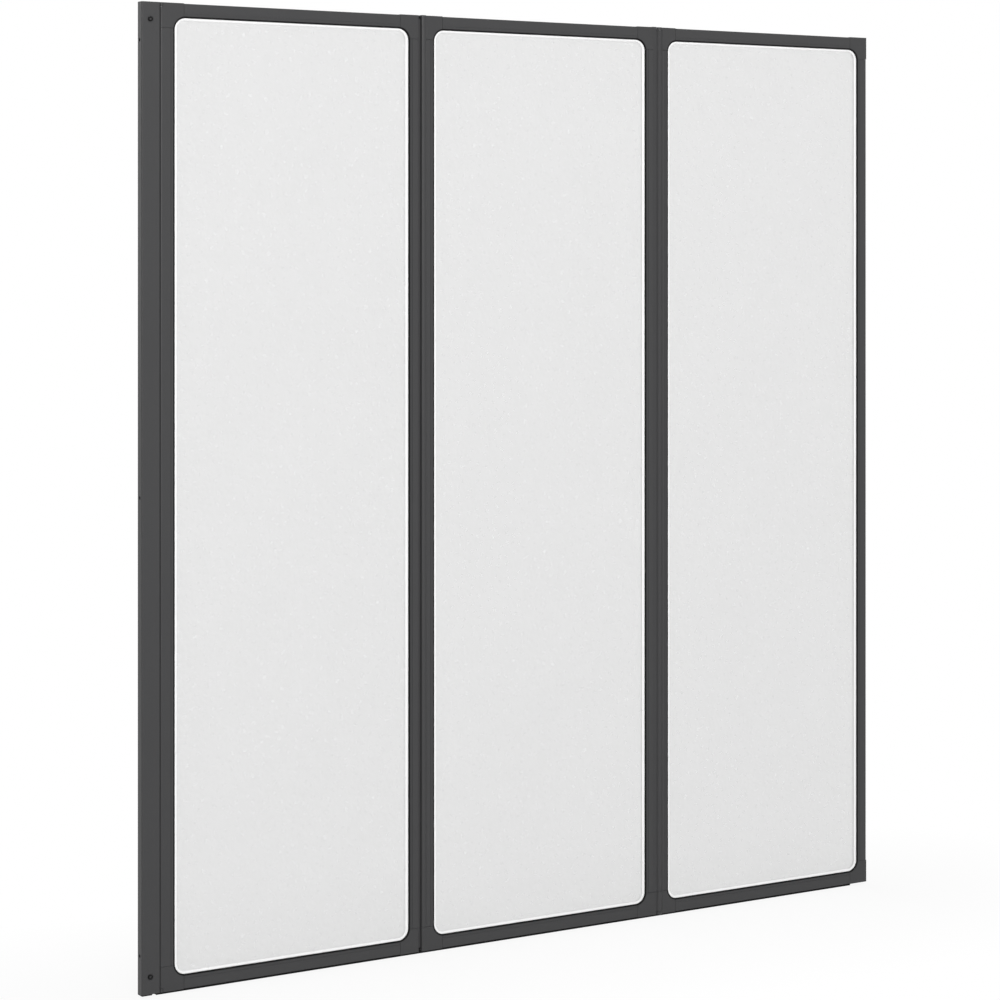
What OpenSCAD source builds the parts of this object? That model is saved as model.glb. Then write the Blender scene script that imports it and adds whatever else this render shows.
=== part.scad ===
// Folding shower screen of three framed leaves for the rim of a bath.
// Frame: x runs away from the wall along the closed screen, y is depth with the
// front at -y, and z is up. The origin lies on the wall at the middle wall fixing.

/* [Overall] */
// Width from the wall to the outer edge of the free leaf
screen_w = 1300; // [1180:10:1420]
// Height of the frame from the foot of the corner pieces to their top
frame_h = 1396; // [1200:4:1600]
// Depth of each leaf
leaf_d = 14; // [13:0.2:16]
// How much wider the middle opening is than the outer two
middle_extra = 2.5; // [0:0.1:6]

/* [Wall profile] */
// Width of the wall profile seen from the front
wall_w = 27.6; // [26:0.2:34]
// Thickness of the web against the wall
wall_web_t = 2; // [1.6:0.1:3]
// Thickness of the two flanges
wall_flange_t = 1.6; // [1.2:0.1:2]
// Radius of the profile's two outer edges at the wall
wall_edge_r = 1.6; // [0.6:0.1:2]
// Clearance between the wall profile and the middle leaf when it is folded back
wall_clear = 0.4; // [0.3:0.05:0.6]
// Gap between the wall profile and the first leaf
wall_gap = 0.7; // [0.6:0.1:1.6]
// Radius of the three wall fixing holes
fixing_r = 2.5; // [2:0.1:3]
// Distance of the outer fixing holes from the ends
fixing_end = 54; // [40:1:90]

/* [Adjusting profile] */
// Distance of its open side from the wall
adjust_x = 9; // [7:0.5:11]
// Wall thickness of the adjusting profile
adjust_t = 1.4; // [1:0.1:1.8]
// Sliding clearance inside the wall profile
adjust_clear = 0.2; // [0.1:0.05:0.4]
// Set-back of its closed side from the wall profile's edge
adjust_back = 0.7; // [0.4:0.1:1.2]

/* [Locking screws] */
// Distance of the screws from the wall
lock_x = 13; // [12:0.5:16]
// Distance of the screws from the ends
lock_end = 24.5; // [24:0.5:40]
// Shank radius
lock_r = 2; // [1.5:0.1:2.2]
// Radius of the pan head
lock_head_r = 3.4; // [3:0.1:4]
// Height of the pan head
lock_head_h = 2.6; // [2:0.1:3]
// Radius of the pan head's rounded edge
lock_head_edge = 1.4; // [0.8:0.1:1.8]
// Radius of the seat sunk for the head
lock_seat_r = 4.6; // [4.2:0.1:5.2]
// Depth of the seat
lock_seat_d = 0.9; // [0.5:0.1:1.1]
// Length of the shank
lock_l = 6; // [4:0.5:8]
// Length of each slot of the cross recess
recess_l = 4; // [3:0.2:5]
// Width of the slots
recess_w = 0.9; // [0.6:0.1:1.2]
// Depth of the cross recess
recess_d = 1.1; // [0.6:0.1:1.4]

/* [Wall profile foot] */
// Width of the foot's plate under the wall profile, from the wall
foot_w = 16; // [12:0.5:20]
// Thickness of the plate
foot_t = 1.5; // [1:0.1:2]
// Set-back of the plate from the profile's faces
foot_inset = 0.4; // [0.2:0.1:0.8]
// Height of the plug that stands in the profile's channel
foot_plug_h = 8; // [5:0.5:12]

/* [Wall hinge] */
// Distance of the pivot from the first leaf's edge and front face
wall_pivot_r = 3; // [2.6:0.1:3.6]
// Thickness of the ear on each hinge block
wall_ear_t = 5; // [4:0.5:7]
// Gap between the ear and the wall profile's edge
wall_ear_gap = 0.3; // [0.2:0.05:0.5]
// Depth of each hinge block's tenon in the adjusting profile
tenon_l = 15; // [10:0.5:17]
// Length of a wall hinge pin
wall_pin_l = 20; // [16:0.5:28]

/* [Stiles and rails] */
// Width of the stile beside the wall profile
wall_stile_w = 20.1; // [16:0.1:24]
// Width of an outer leaf's folding stile
stile_w = 15.7; // [13.8:0.1:18]
// Width of the middle leaf's stiles, without the hinge profiles
middle_stile_w = 11.8; // [10.6:0.1:14]
// Width of the free stile
free_stile_w = 16.7; // [13:0.1:20]
// Face height of the rails
rail_w = 18; // [16:0.1:24]
// Wall thickness of the hollow sections
section_t = 1.4; // [1:0.1:1.8]
// Radius of the long outer edges
edge_r = 0.8; // [0.4:0.1:1.2]
// Radius of the two front edges that face each other at the first fold
fold_edge_r = 3; // [0.8:0.1:3.2]
// Radius of the middle leaf's front edge beside the second hinge profile
joint_edge_r = 0.1; // [0.1:0.1:0.8]
// Distance of the bead line from the opening
bead_x = 3.6; // [2.6:0.1:4.6]
// Width of the bead line
bead_w = 0.7; // [0.3:0.1:0.9]
// Depth of the bead line
bead_d = 0.5; // [0.2:0.1:0.7]

/* [Corner pieces] */
// How far a corner piece reaches past the stile's inner edge
corner_reach = 16.5; // [14:0.5:22]
// Height of a corner piece
corner_h = 35.5; // [33:0.5:44]
// Radius of the frame's inner corners
corner_r = 19.4; // [17:0.2:26]
// How far the corner pieces stand proud of the rails' outer faces
corner_proud = 0.6; // [0.3:0.1:1]
// How far the free corner pieces stand proud of the free stile
free_proud = 1.2; // [0.5:0.1:2]
// Hairline gap between a corner piece and a rail, stile or hinge profile
joint_gap = 0.4; // [0.1:0.1:0.8]
// Length of the pegs in the hollow sections
peg_l = 22; // [12:1:40]
// Clearance round a peg
peg_clear = 0.1; // [0.05:0.05:0.3]

/* [Panes and gaskets] */
// Thickness of a pane
pane_t = 3; // [2.6:0.2:4]
// Set-back of the pane's front face from the leaf's front face
pane_set = 2; // [1.9:0.1:2.8]
// How far a pane reaches into its groove
pane_grip = 5.5; // [4:0.25:5.75]
// Depth of the glazing groove
groove_depth = 6.5; // [6.25:0.05:6.6]
// Thickness of the gasket on each face of a pane
gasket_t = 0.8; // [0.6:0.1:1]
// How far the gasket's front lip stands into the opening
lip_w = 2.4; // [2:0.1:5]
// Thickness of the front lip at its inner edge
lip_edge = 1.7; // [0.8:0.1:1.8]
// How far the gasket's back lip stands into the opening
back_lip_w = 0.8; // [0.4:0.1:1.6]
// Set-back of the gasket's front edge from the leaf's front face
gasket_set = 0.7; // [0.2:0.1:0.8]
// Clearance of the gasket in its groove and on the pane
gasket_clear = 0.05; // [0.02:0.01:0.1]

/* [Fold hinges] */
// Radius of the hinge barrel
barrel_r = 5; // [4.6:0.1:5.6]
// Clearance between a barrel and the hollow beside it
barrel_clear = 0.4; // [0.3:0.05:0.6]
// Distance of the hinge axis outside the leaf's face
axis_out = 0.5; // [0.4:0.05:0.8]
// Distance of the hinge axis inside the folding stile's edge
axis_lap = 1.2; // [0.8:0.1:1.6]
// How far the barrel's crown stands out of the leaf's face
crown = 3.2; // [3:0.1:3.6]
// Width of the hinge profile beside the middle leaf's stile
strip_w = 7.3; // [6:0.1:10]
// Set-back of the lip that closes a fold's gap, from the face away from the barrel
gap_lip_set = 4.2; // [2:0.1:5]
// Thickness of that lip
gap_lip_t = 1.4; // [1:0.1:2]
// Clearance between that lip and the outer leaf's stile
gap_lip_clear = 0.5; // [0.3:0.1:0.8]
// How far the hinge profiles stand above the corner pieces
strip_proud = 0.5; // [0.2:0.1:1]
// Thickness of the ears at the ends of a fold hinge
fold_ear_t = 4; // [3:0.5:6]
// Length of a fold hinge pin
fold_pin_l = 30; // [18:1:34]

/* [Pins and washers] */
// Radius of the hinge pins
pin_r = 1.5; // [1.3:0.05:1.6]
// Running clearance of a pin in its bore
pin_clear = 0.05; // [0.03:0.01:0.08]
// Clearance of a pin in the ear that holds it
pin_hold = 0.02; // [0.01:0.005:0.02]
// Depth of a bore past the end of its pin
bore_spare = 1; // [0.5:0.5:3]
// Thickness of the washers
washer_t = 0.6; // [0.4:0.1:1]
// Radius of the washers at the folds
fold_washer_r = 4; // [3:0.1:4.4]
// Radius of the washers at the wall hinge
wall_washer_r = 2.9; // [2.4:0.1:3]
// Gap between a washer and the piece that turns on it
turn_gap = 0.3; // [0.2:0.05:0.5]

/* [Bottom seals] */
// How far the seals hang below the frame
seal_drop = 3.5; // [2.5:0.1:8]
// Thickness of a seal
seal_t = 5; // [4:0.2:7]
// Thickness of each lip
seal_lip_t = 1; // [0.8:0.1:1.4]
// Thickness of the seal's flat top
seal_top_t = 1.1; // [0.8:0.1:1.4]
// Width of the seal's tongue in the bottom rail
tongue_w = 2; // [1.6:0.1:3]
// Height of the tongue
tongue_h = 2.2; // [1.5:0.1:2.4]
// Depth of the bottom rail's groove for the tongue
tongue_groove = 2.6; // [2.5:0.1:3]
// How far the first seal reaches under the wall profile
seal_lap = 4.3; // [2:0.1:8]
// Gap between the seals of two leaves
seal_gap = 0.6; // [0.4:0.1:1.5]
// How far the last seal reaches under the free corner piece
seal_tail = 3.8; // [2:0.1:10]

/* [Hidden] */
$fn = 64;
eps = 0.01;
// How far a cutting shape passes the material it cuts
over = 1;
// How far the root of a peg lies inside its corner piece
peg_root = 2;
// How far inside the barrel's radius its crown starts
crown_inset = 0.2;

top_z = frame_h / 2;
half_d = leaf_d / 2;
wall_half_d = half_d + 2 * axis_out - wall_clear;

// Places along the screen
fold_gap = barrel_r + barrel_clear - axis_lap;
fixed_w = wall_w + wall_gap + wall_stile_w + free_stile_w + free_proud
    + 2 * (stile_w + fold_gap + strip_w + middle_stile_w);
outer_w = (screen_w - fixed_w - middle_extra) / 3;
middle_w = outer_w + middle_extra;
leaf_1_x = wall_w + wall_gap;
open_left = [
    leaf_1_x + wall_stile_w,
    leaf_1_x + wall_stile_w + outer_w + stile_w + fold_gap + strip_w + middle_stile_w,
    screen_w - free_proud - free_stile_w - outer_w
];
open_w = [outer_w, middle_w, outer_w];
axis_12_x = open_left[0] + outer_w + stile_w - axis_lap;
axis_23_x = open_left[2] - stile_w + axis_lap;
fold_axis_y = half_d + axis_out;
wall_axis_x = leaf_1_x + wall_pivot_r;
wall_axis_y = -half_d + wall_pivot_r;

// Heights
rail_outer_z = top_z - corner_proud;
open_top_z = rail_outer_z - rail_w;
stile_end_z = top_z - corner_h;
open_h = 2 * open_top_z;

// Glazing groove, counted in depth from the front
groove_y0 = -half_d + pane_set - gasket_t;
groove_y1 = -half_d + pane_set + pane_t + gasket_t;
pane_y0 = -half_d + pane_set;

// Side numbers: -1 is the left side of a leaf and 1 is its right side
LEAVES = [1, 2, 3];
ENDS = ["top", "bottom"];
SIDES = ["left", "right"];

// Flat square between two corners
module box_2d(x0, y0, x1, y1) {
    translate([x0, y0]) square([x1 - x0, y1 - y0]);
}

// Solid block between two corners
module block(x0, y0, z0, x1, y1, z1) {
    translate([x0, y0, z0]) cube([x1 - x0, y1 - y0, z1 - z0]);
}

// Flat rectangle with round corners
module round_2d(x0, y0, x1, y1, r) {
    box_2d(x0 + r, y0, x1 - r, y1);
    box_2d(x0, y0 + r, x1, y1 - r);
    for (x = [x0 + r, x1 - r], y = [y0 + r, y1 - r]) translate([x, y]) circle(r);
}

// A child and its mirror image in the screen's mid-height
module both_ends() {
    children();
    mirror([0, 0, 1]) children();
}

// The top version of a child, or its mirror image at the foot
module at_end(end) {
    if (end == "top") children();
    else mirror([0, 0, 1]) children();
}

// Moves a section drawn outwards from the opening to one side of leaf k
module at_side(k, side) {
    if (side == "right") translate([open_left[k - 1] + open_w[k - 1], 0, 0]) children();
    else translate([open_left[k - 1], 0, 0]) mirror([1, 0, 0]) children();
}

// Width of the section on one side of leaf k
function side_w(k, side) =
    k == 2 ? middle_stile_w
    : k == 1 && side == "left" ? wall_stile_w
    : k == 3 && side == "right" ? free_stile_w
    : stile_w;

// Front or back of the hinge axis on one side of leaf k: 1 back, -1 front, 0 none
function fold_y(k, side) =
    (k == 1 && side == "right") || (k == 2 && side == "left") ? 1
    : (k == 2 && side == "right") || (k == 3 && side == "left") ? -1
    : 0;

// Clear width of the hollow behind the glazing groove
function hollow_w(k, side) =
    k == 1 && side == "right" ? stile_w - axis_lap - barrel_r - barrel_clear - section_t
    : side_w(k, side) - section_t;

// Hollow behind the glazing groove, less a clearance when it is drawn for a peg
module rear_hollow(w, inset = 0) {
    box_2d(section_t + inset, groove_y1 + section_t + inset, w - inset, half_d - section_t - inset);
}

// Radius of the outer front edge of a stile or corner piece
function front_r(k, side, end = "top") =
    k == 1 && side == "right" || k == 2 && side == "left" && end == "bottom" ? fold_edge_r
    : k == 2 && side == "right" && end == "top" ? joint_edge_r
    : edge_r;

// Outline of a section with its long outer edges rounded
module section_outline(w, r = edge_r) {
    inner = max(r, edge_r);
    box_2d(0, -half_d, w - r, 0);
    box_2d(0, -eps, w - edge_r, half_d);
    box_2d(w - inner - eps, -half_d + r, w, half_d - edge_r);
    translate([w - r, -half_d + r]) circle(r);
    translate([w - edge_r, half_d - edge_r]) circle(edge_r);
}

// Groove that takes the pane's edge, and the fine line of the glazing bead
module glazing_cuts() {
    box_2d(-over, groove_y0, groove_depth, groove_y1);
    box_2d(bead_x - bead_w / 2, -half_d - over, bead_x + bead_w / 2, -half_d + bead_d);
}

// Hollow in the side of a folding stile that clears the hinge barrel
module barrel_hollow(w, y) {
    translate([w - axis_lap, y * fold_axis_y]) circle(barrel_r + barrel_clear);
}

// Section of a stile, drawn outwards from the opening
module stile_section(k, side) {
    w = side_w(k, side);
    folds = k != 2 && fold_y(k, side) != 0;
    difference() {
        if (k == 1 && side == "left") wall_side_outline(w);
        else section_outline(w, front_r(k, side));
        glazing_cuts();
        rear_hollow(hollow_w(k, side));
        if (k != 2 && fold_y(k, side) != -1)
            box_2d(groove_depth + section_t, -half_d + section_t,
                k == 1 && side == "left" ? w - 2 * wall_pivot_r + section_t : w - section_t,
                groove_y1);
        if (folds) barrel_hollow(w, fold_y(k, side));
    }
}

// The first stile's outline, rounded about the wall hinge's axis
module wall_side_outline(w) {
    box_2d(0, -half_d, w - wall_pivot_r, half_d);
    box_2d(w - wall_pivot_r - eps, -half_d + wall_pivot_r, w, half_d - edge_r);
    box_2d(w - wall_pivot_r - eps, 0, w - edge_r, half_d);
    translate([w - wall_pivot_r, -half_d + wall_pivot_r]) circle(wall_pivot_r);
    translate([w - edge_r, half_d - edge_r]) circle(edge_r);
}

module stile(k, side) {
    color("#4d4e50")
    at_side(k, side)
    translate([0, 0, joint_gap - stile_end_z])
    linear_extrude(2 * (stile_end_z - joint_gap)) stile_section(k, side);
}

// Section of a rail, drawn outwards from the opening
module rail_section(end) {
    difference() {
        section_outline(rail_w);
        glazing_cuts();
        rear_hollow(rail_w - section_t - tongue_groove);
        box_2d(groove_depth + section_t, -half_d + section_t,
            rail_w - section_t - tongue_groove, groove_y1);
        if (end == "bottom")
            box_2d(rail_w - tongue_groove, -tongue_w / 2 - gasket_clear, rail_w + over,
                tongue_w / 2 + gasket_clear);
    }
}

// Start and end of leaf k's rails
function rail_x(k) = [
    open_left[k - 1] + corner_reach + joint_gap,
    open_left[k - 1] + open_w[k - 1] - corner_reach - joint_gap
];

module rail(k, end) {
    color("#4d4e50")
    at_end(end)
    translate([rail_x(k)[1], 0, open_top_z])
    rotate([0, -90, 0])
    linear_extrude(rail_x(k)[1] - rail_x(k)[0]) rail_section(end);
}

// Plate over leaf k's opening with round corners, grown outwards by a margin
module opening_plate(k, grow, y0, y1) {
    translate([0, y1, 0])
    rotate([90, 0, 0])
    linear_extrude(y1 - y0)
    round_2d(open_left[k - 1] - grow, -open_top_z - grow,
        open_left[k - 1] + open_w[k - 1] + grow, open_top_z + grow, corner_r + grow);
}

// Outline of the hinge barrel: round, with a low crown outside the leaf's face
module barrel_2d() {
    crown_y = -(crown - axis_out);
    half_chord = barrel_r - crown_inset;
    crown_r = (pow(half_chord, 2) + pow(crown, 2)) / (2 * crown);
    intersection() {
        circle(barrel_r);
        union() {
            box_2d(-barrel_r, axis_out, barrel_r, barrel_r);
            translate([0, crown_y + crown_r]) circle(crown_r);
        }
    }
}

// Places a shape drawn about a fold axis, with y pointing into the leaf
module at_fold(y) {
    translate([0, y * fold_axis_y, 0]) mirror([0, y > 0 ? 1 : 0, 0]) children();
}

// Width of the corner block: the middle leaf's bottom corners are also the hinge's foot
function corner_w(k, side, end) =
    side_w(k, side) + (k == 2 && end == "bottom" ? strip_w : 0)
    + (k == 3 && side == "right" ? free_proud : 0);

// Corner piece at the top of a leaf, drawn outwards from the opening
module corner_block(k, side, end) {
    w = corner_w(k, side, end);
    y = fold_y(k, side);
    z0 = stile_end_z;
    ear_z = top_z - fold_ear_t;
    difference() {
        union() {
            if (k == 1 && side == "left") {
                translate([0, 0, z0]) linear_extrude(corner_h) wall_side_outline(w);
            } else {
                translate([0, 0, z0])
                linear_extrude(corner_h) section_outline(w, front_r(k, side, end));
            }
            block(-corner_reach, -half_d, z0, eps, half_d, top_z);
            if (k != 2 && y != 0) fold_ear(w, y, ear_z);
            if (k == 2 && end == "bottom") fold_barrel(w, y, z0);
        }
        if (k != 2 && y != 0)
            translate([0, 0, z0 - over])
            linear_extrude(ear_z - z0 + over) barrel_hollow(w, y);
        if (k != 2 && y != 0)
            translate([w - axis_lap, y * fold_axis_y, ear_z - over])
            cylinder(r = pin_r + pin_hold, h = fold_ear_t + 2 * over);
        if (k == 2 && end == "bottom")
            translate([w + barrel_r + barrel_clear, y * fold_axis_y, z0 - over])
            cylinder(r = pin_r + pin_clear, h = corner_h + 2 * over);
        if (k == 1 && side == "left") wall_pivot_cut(w);
    }
}

// Ear of an outer leaf that reaches over the hinge barrel
module fold_ear(w, y, z) {
    translate([w - axis_lap, 0, z])
    linear_extrude(fold_ear_t)
    at_fold(y) {
        barrel_2d();
        box_2d(-barrel_r, axis_out, 0, barrel_r);
    }
}

// Height of a fold barrel's end, below the ear and its washer
fold_barrel_z = top_z - fold_ear_t - washer_t - turn_gap;

// Barrel and web on the middle leaf, drawn from the fold axis towards that leaf
module barrel_and_web_2d(y) {
    at_fold(y) {
        barrel_2d();
        box_2d(0, axis_out, barrel_r + barrel_clear + edge_r, barrel_r);
    }
    mirror([0, y > 0 ? 0 : 1])
        box_2d(axis_lap + gap_lip_clear, -half_d + gap_lip_set,
            barrel_r + barrel_clear + section_t, -half_d + gap_lip_set + gap_lip_t);
}

// Barrel at the foot of the middle leaf, part of the corner piece
module fold_barrel(w, y, z0) {
    translate([w + barrel_r + barrel_clear, 0, z0])
    mirror([1, 0, 0])
    linear_extrude(fold_barrel_z - z0) barrel_and_web_2d(y);
}

// Room for the wall hinge's ear, washer and pin in the first leaf's corner
module wall_pivot_cut(w) {
    z = top_z - wall_ear_t - washer_t - turn_gap;
    r = wall_pivot_r + barrel_clear;
    pivot_u = w - wall_pivot_r;
    translate([pivot_u - barrel_clear, -half_d - over, z]) cube([w, leaf_d + 2 * over, corner_h]);
    translate([pivot_u, wall_axis_y, z]) cylinder(r = r, h = corner_h);
    translate([pivot_u, wall_axis_y, top_z - wall_pin_l - bore_spare])
    cylinder(r = pin_r + pin_clear, h = wall_pin_l);
}

// Pegs that enter the stile and the rail
module corner_pegs(k, side, end) {
    translate([0, 0, stile_end_z - peg_l])
    linear_extrude(peg_l + peg_root) rear_hollow(hollow_w(k, side), peg_clear);
    translate([-corner_reach + peg_root, 0, open_top_z])
    rotate([0, -90, 0])
    linear_extrude(peg_l + peg_root)
    rear_hollow(rail_w - section_t - tongue_groove, peg_clear);
}

module corner(k, end, side) {
    color("#47484a")
    at_end(end)
    difference() {
        at_side(k, side) {
            corner_block(k, side, end);
            corner_pegs(k, side, end);
        }
        opening_plate(k, 0, -half_d - over, half_d + over);
        opening_plate(k, groove_depth, groove_y0, groove_y1);
    }
}

module pane(k) {
    color("#e4e8e8", 0.6)
    opening_plate(k, pane_grip, pane_y0, pane_y0 + pane_t);
}

// Gasket section on the outward distance from the opening and the depth
module gasket_section() {
    c = gasket_clear;
    polygon([
        [groove_depth - c, groove_y0 + c],
        [groove_depth - c, groove_y1 - c],
        [-back_lip_w, groove_y1 - c],
        [-back_lip_w, pane_y0 + pane_t + c],
        [pane_grip + c, pane_y0 + pane_t + c],
        [pane_grip + c, pane_y0 - c],
        [-lip_w, pane_y0 - c],
        [-lip_w, pane_y0 - lip_edge],
        [-c, -half_d + gasket_set],
        [-c, groove_y0 + c]
    ]);
}

// Sweeps a section round leaf k's opening, with straight sides and round corners
module opening_sweep(k) {
    long = open_h - 2 * corner_r;
    wide = open_w[k - 1] - 2 * corner_r;
    translate([open_left[k - 1] + open_w[k - 1] / 2, 0, 0]) {
        for (m = [0, 1]) mirror([m, 0, 0]) {
            translate([wide / 2 + corner_r, 0, -long / 2]) linear_extrude(long) children();
            for (n = [0, 1]) mirror([0, 0, n])
                translate([wide / 2, 0, -long / 2])
                rotate([-90, 0, 0])
                rotate_extrude(angle = 90) translate([corner_r, 0]) children();
        }
        for (n = [0, 1]) mirror([0, 0, n])
            translate([wide / 2, 0, long / 2 + corner_r])
            rotate([0, -90, 0]) linear_extrude(wide) children();
    }
}

module gasket(k) {
    color("#232426")
    opening_sweep(k) gasket_section();
}

// Section of the bottom seal: a flat top and two lips that spread downwards
module seal_section(drop) {
    spread = seal_t / 2;
    for (m = [0, 1]) mirror([m, 0]) {
        box_2d(0, -seal_top_t, spread, 0);
        polygon([
            [spread - 2 * seal_lip_t, -seal_top_t + eps], [spread - seal_lip_t, -seal_top_t + eps],
            [spread, -drop], [spread - seal_lip_t, -drop]
        ]);
    }
}

// Start and end of each bottom seal
seal_x = [
    [leaf_1_x - seal_lap, axis_12_x + axis_lap + fold_gap / 2 - seal_gap / 2],
    [axis_12_x + axis_lap + fold_gap / 2 + seal_gap / 2,
     axis_23_x - axis_lap - fold_gap / 2 - seal_gap / 2],
    [axis_23_x - axis_lap - fold_gap / 2 + seal_gap / 2,
     open_left[2] + outer_w - corner_reach + seal_tail]
];

// A length of section laid along x, with its own up direction kept
module along_x(x0, x1) {
    translate([x0, 0, 0]) rotate([90, 0, 90]) linear_extrude(x1 - x0) children();
}

module bottom_seal(k) {
    x0 = seal_x[k - 1][0];
    x1 = seal_x[k - 1][1];
    under_wall = k == 1 ? leaf_1_x : x0;
    color("#3a3b3d") {
        translate([0, 0, -top_z]) along_x(under_wall, x1) seal_section(seal_drop);
        along_x(rail_x(k)[0], rail_x(k)[1]) {
            box_2d(-seal_t / 2, -top_z - eps, seal_t / 2, -rail_outer_z);
            box_2d(-tongue_w / 2, -rail_outer_z - eps, tongue_w / 2, -rail_outer_z + tongue_h);
        }
        if (k == 1)
            translate([0, 0, -top_z - turn_gap])
            along_x(x0, under_wall + eps) seal_section(seal_drop - turn_gap);
    }
}

// Outline of a hinge profile's strip: rounded towards the stile only where its joint shows
module strip_outline(side) {
    if (side == "right") section_outline(strip_w);
    else intersection() {
        section_outline(strip_w, fold_edge_r);
        translate([strip_w, 0]) mirror([1, 0]) section_outline(strip_w);
    }
}

// Hinge profile of the middle leaf, drawn outwards from its stile
module hinge_profile(side) {
    y = fold_y(2, side);
    axis_u = strip_w + barrel_r + barrel_clear;
    color("#4d4e50")
    at_side(2, side)
    translate([middle_stile_w, 0, joint_gap - stile_end_z])
    difference() {
        union() {
            linear_extrude(stile_end_z + top_z + strip_proud - joint_gap) strip_outline(side);
            linear_extrude(stile_end_z + fold_barrel_z - joint_gap)
            translate([axis_u, 0]) mirror([1, 0, 0]) barrel_and_web_2d(y);
        }
        translate([axis_u, y * fold_axis_y, -over])
        cylinder(r = pin_r + pin_clear, h = frame_h);
        translate([0, 0, -over])
        linear_extrude(frame_h)
        box_2d(section_t, -half_d + section_t, strip_w - section_t, half_d - section_t);
    }
}

// Two pins of a fold hinge, flush with the ears
module fold_pins(x, y) {
    color("#b9bcbf")
    both_ends()
    translate([x, y * fold_axis_y, top_z - fold_pin_l])
    cylinder(r = pin_r, h = fold_pin_l);
}

// A ring round a pin
module ring(r_out, r_in, h) {
    difference() {
        cylinder(r = r_out, h = h);
        translate([0, 0, -over]) cylinder(r = r_in, h = h + 2 * over);
    }
}

module fold_washers(x, y) {
    color("#d8d9d6")
    both_ends()
    translate([x, 0, top_z - fold_ear_t - washer_t])
    at_fold(y)
    intersection() {
        ring(fold_washer_r, pin_r + pin_clear, washer_t);
        linear_extrude(washer_t) barrel_2d();
    }
}

// Outline of the wall profile: a channel open to the first leaf
module wall_section() {
    d = wall_half_d;
    flange = wall_flange_t / 2;
    difference() {
        union() {
            box_2d(wall_edge_r, -d, wall_w - flange, d);
            box_2d(0, -d + wall_edge_r, wall_edge_r + eps, d - wall_edge_r);
            for (y = [-1, 1]) translate([wall_edge_r, y * (d - wall_edge_r)]) circle(wall_edge_r);
            for (y = [-1, 1]) translate([wall_w - flange, y * (d - flange)]) circle(flange);
        }
        box_2d(wall_web_t, -d + wall_flange_t, wall_w + over, d - wall_flange_t);
    }
}

module wall_profile() {
    color("#4d4e50")
    difference() {
        translate([0, 0, -top_z]) linear_extrude(frame_h) wall_section();
        for (z = [-1, 0, 1])
            translate([-over, 0, z * (top_z - fixing_end)])
            rotate([0, 90, 0]) cylinder(r = fixing_r, h = wall_web_t + 2 * over);
        lock_places() cylinder(r = lock_r + peg_clear, h = lock_l);
        lock_places() cylinder(r = lock_seat_r, h = lock_seat_d + eps);
    }
}

// Rubber foot under the wall profile, with a plug in the channel beside the adjusting profile
module wall_profile_foot() {
    d = wall_half_d;
    plug_d = d - wall_flange_t - peg_clear;
    color("#1d1e1f") {
        block(foot_inset, -d + foot_inset, -top_z - foot_t, foot_w, d - foot_inset, -top_z);
        block(wall_web_t + peg_clear, -plug_d, -top_z - eps,
            adjust_x - 2 * peg_clear, plug_d, -top_z + foot_plug_h);
    }
}

// Places of the two locking screws, with z pointing into the profile
module lock_places() {
    for (z = [-1, 1])
        translate([lock_x, -wall_half_d - eps, z * (top_z - lock_end)])
        rotate([-90, 0, 0]) children();
}

module adjusting_profile() {
    d = wall_half_d - wall_flange_t - adjust_clear;
    x1 = wall_w - adjust_back;
    z = top_z - wall_ear_t;
    color("#5a5b5d")
    difference() {
        block(adjust_x, -d, -z, x1, d, z);
        block(adjust_x - over, -d + adjust_t, -z - over, x1 - adjust_t, d - adjust_t, z + over);
        lock_places()
            cylinder(r = lock_r + pin_hold, h = wall_flange_t + adjust_clear + adjust_t + over);
    }
}

// Pan-head screw along z, with its seat at z = 0 and a cross recess in the head
module locking_screw() {
    flat_r = lock_head_r - lock_head_edge;
    difference() {
        union() {
            cylinder(r = lock_r, h = lock_l);
            rotate_extrude() {
                box_2d(0, -lock_head_h, flat_r, 0);
                box_2d(0, lock_head_edge - lock_head_h, lock_head_r, 0);
                intersection() {
                    translate([flat_r, lock_head_edge - lock_head_h]) circle(lock_head_edge);
                    box_2d(0, -lock_head_h, lock_head_r, 0);
                }
            }
        }
        for (a = [0, 90])
            rotate([0, 0, a])
            block(-recess_l / 2, -recess_w / 2, -lock_head_h - over,
                recess_l / 2, recess_w / 2, -lock_head_h + recess_d);
    }
}

module locking_screws() {
    color("#3f4042")
    lock_places() translate([0, 0, lock_seat_d + eps]) locking_screw();
}

// Hinge block in the upper end of the adjusting profile
module wall_hinge_block() {
    d = wall_half_d - wall_flange_t - adjust_clear;
    z = top_z - wall_ear_t;
    color("#47484a")
    difference() {
        union() {
            block(adjust_x, -d, z, wall_w + wall_ear_gap + eps, d, top_z);
            translate([0, 0, z]) linear_extrude(wall_ear_t) wall_ear_2d();
            block(adjust_x + over, -d + adjust_t + peg_clear, z - tenon_l,
                wall_w - adjust_back - adjust_t - peg_clear, d - adjust_t - peg_clear, z + eps);
        }
        translate([wall_axis_x, wall_axis_y, z - over])
            cylinder(r = pin_r + pin_hold, h = wall_ear_t + 2 * over);
    }
}

// The ear's outline, round about the wall hinge's axis
module wall_ear_2d() {
    x0 = wall_w + wall_ear_gap;
    box_2d(x0, wall_axis_y, wall_axis_x, half_d - edge_r);
    box_2d(x0, 0, wall_axis_x - edge_r, half_d);
    translate([wall_axis_x - edge_r, half_d - edge_r]) circle(edge_r);
    translate([wall_axis_x, wall_axis_y]) circle(wall_pivot_r);
}

module wall_hinge_pins() {
    color("#b9bcbf")
    both_ends()
    translate([wall_axis_x, wall_axis_y, top_z - wall_pin_l])
    cylinder(r = pin_r, h = wall_pin_l);
}

module wall_hinge_washers() {
    color("#d8d9d6")
    both_ends()
    translate([wall_axis_x, wall_axis_y, top_z - wall_ear_t - washer_t])
    ring(wall_washer_r, pin_r + pin_clear, washer_t);
}

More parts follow.
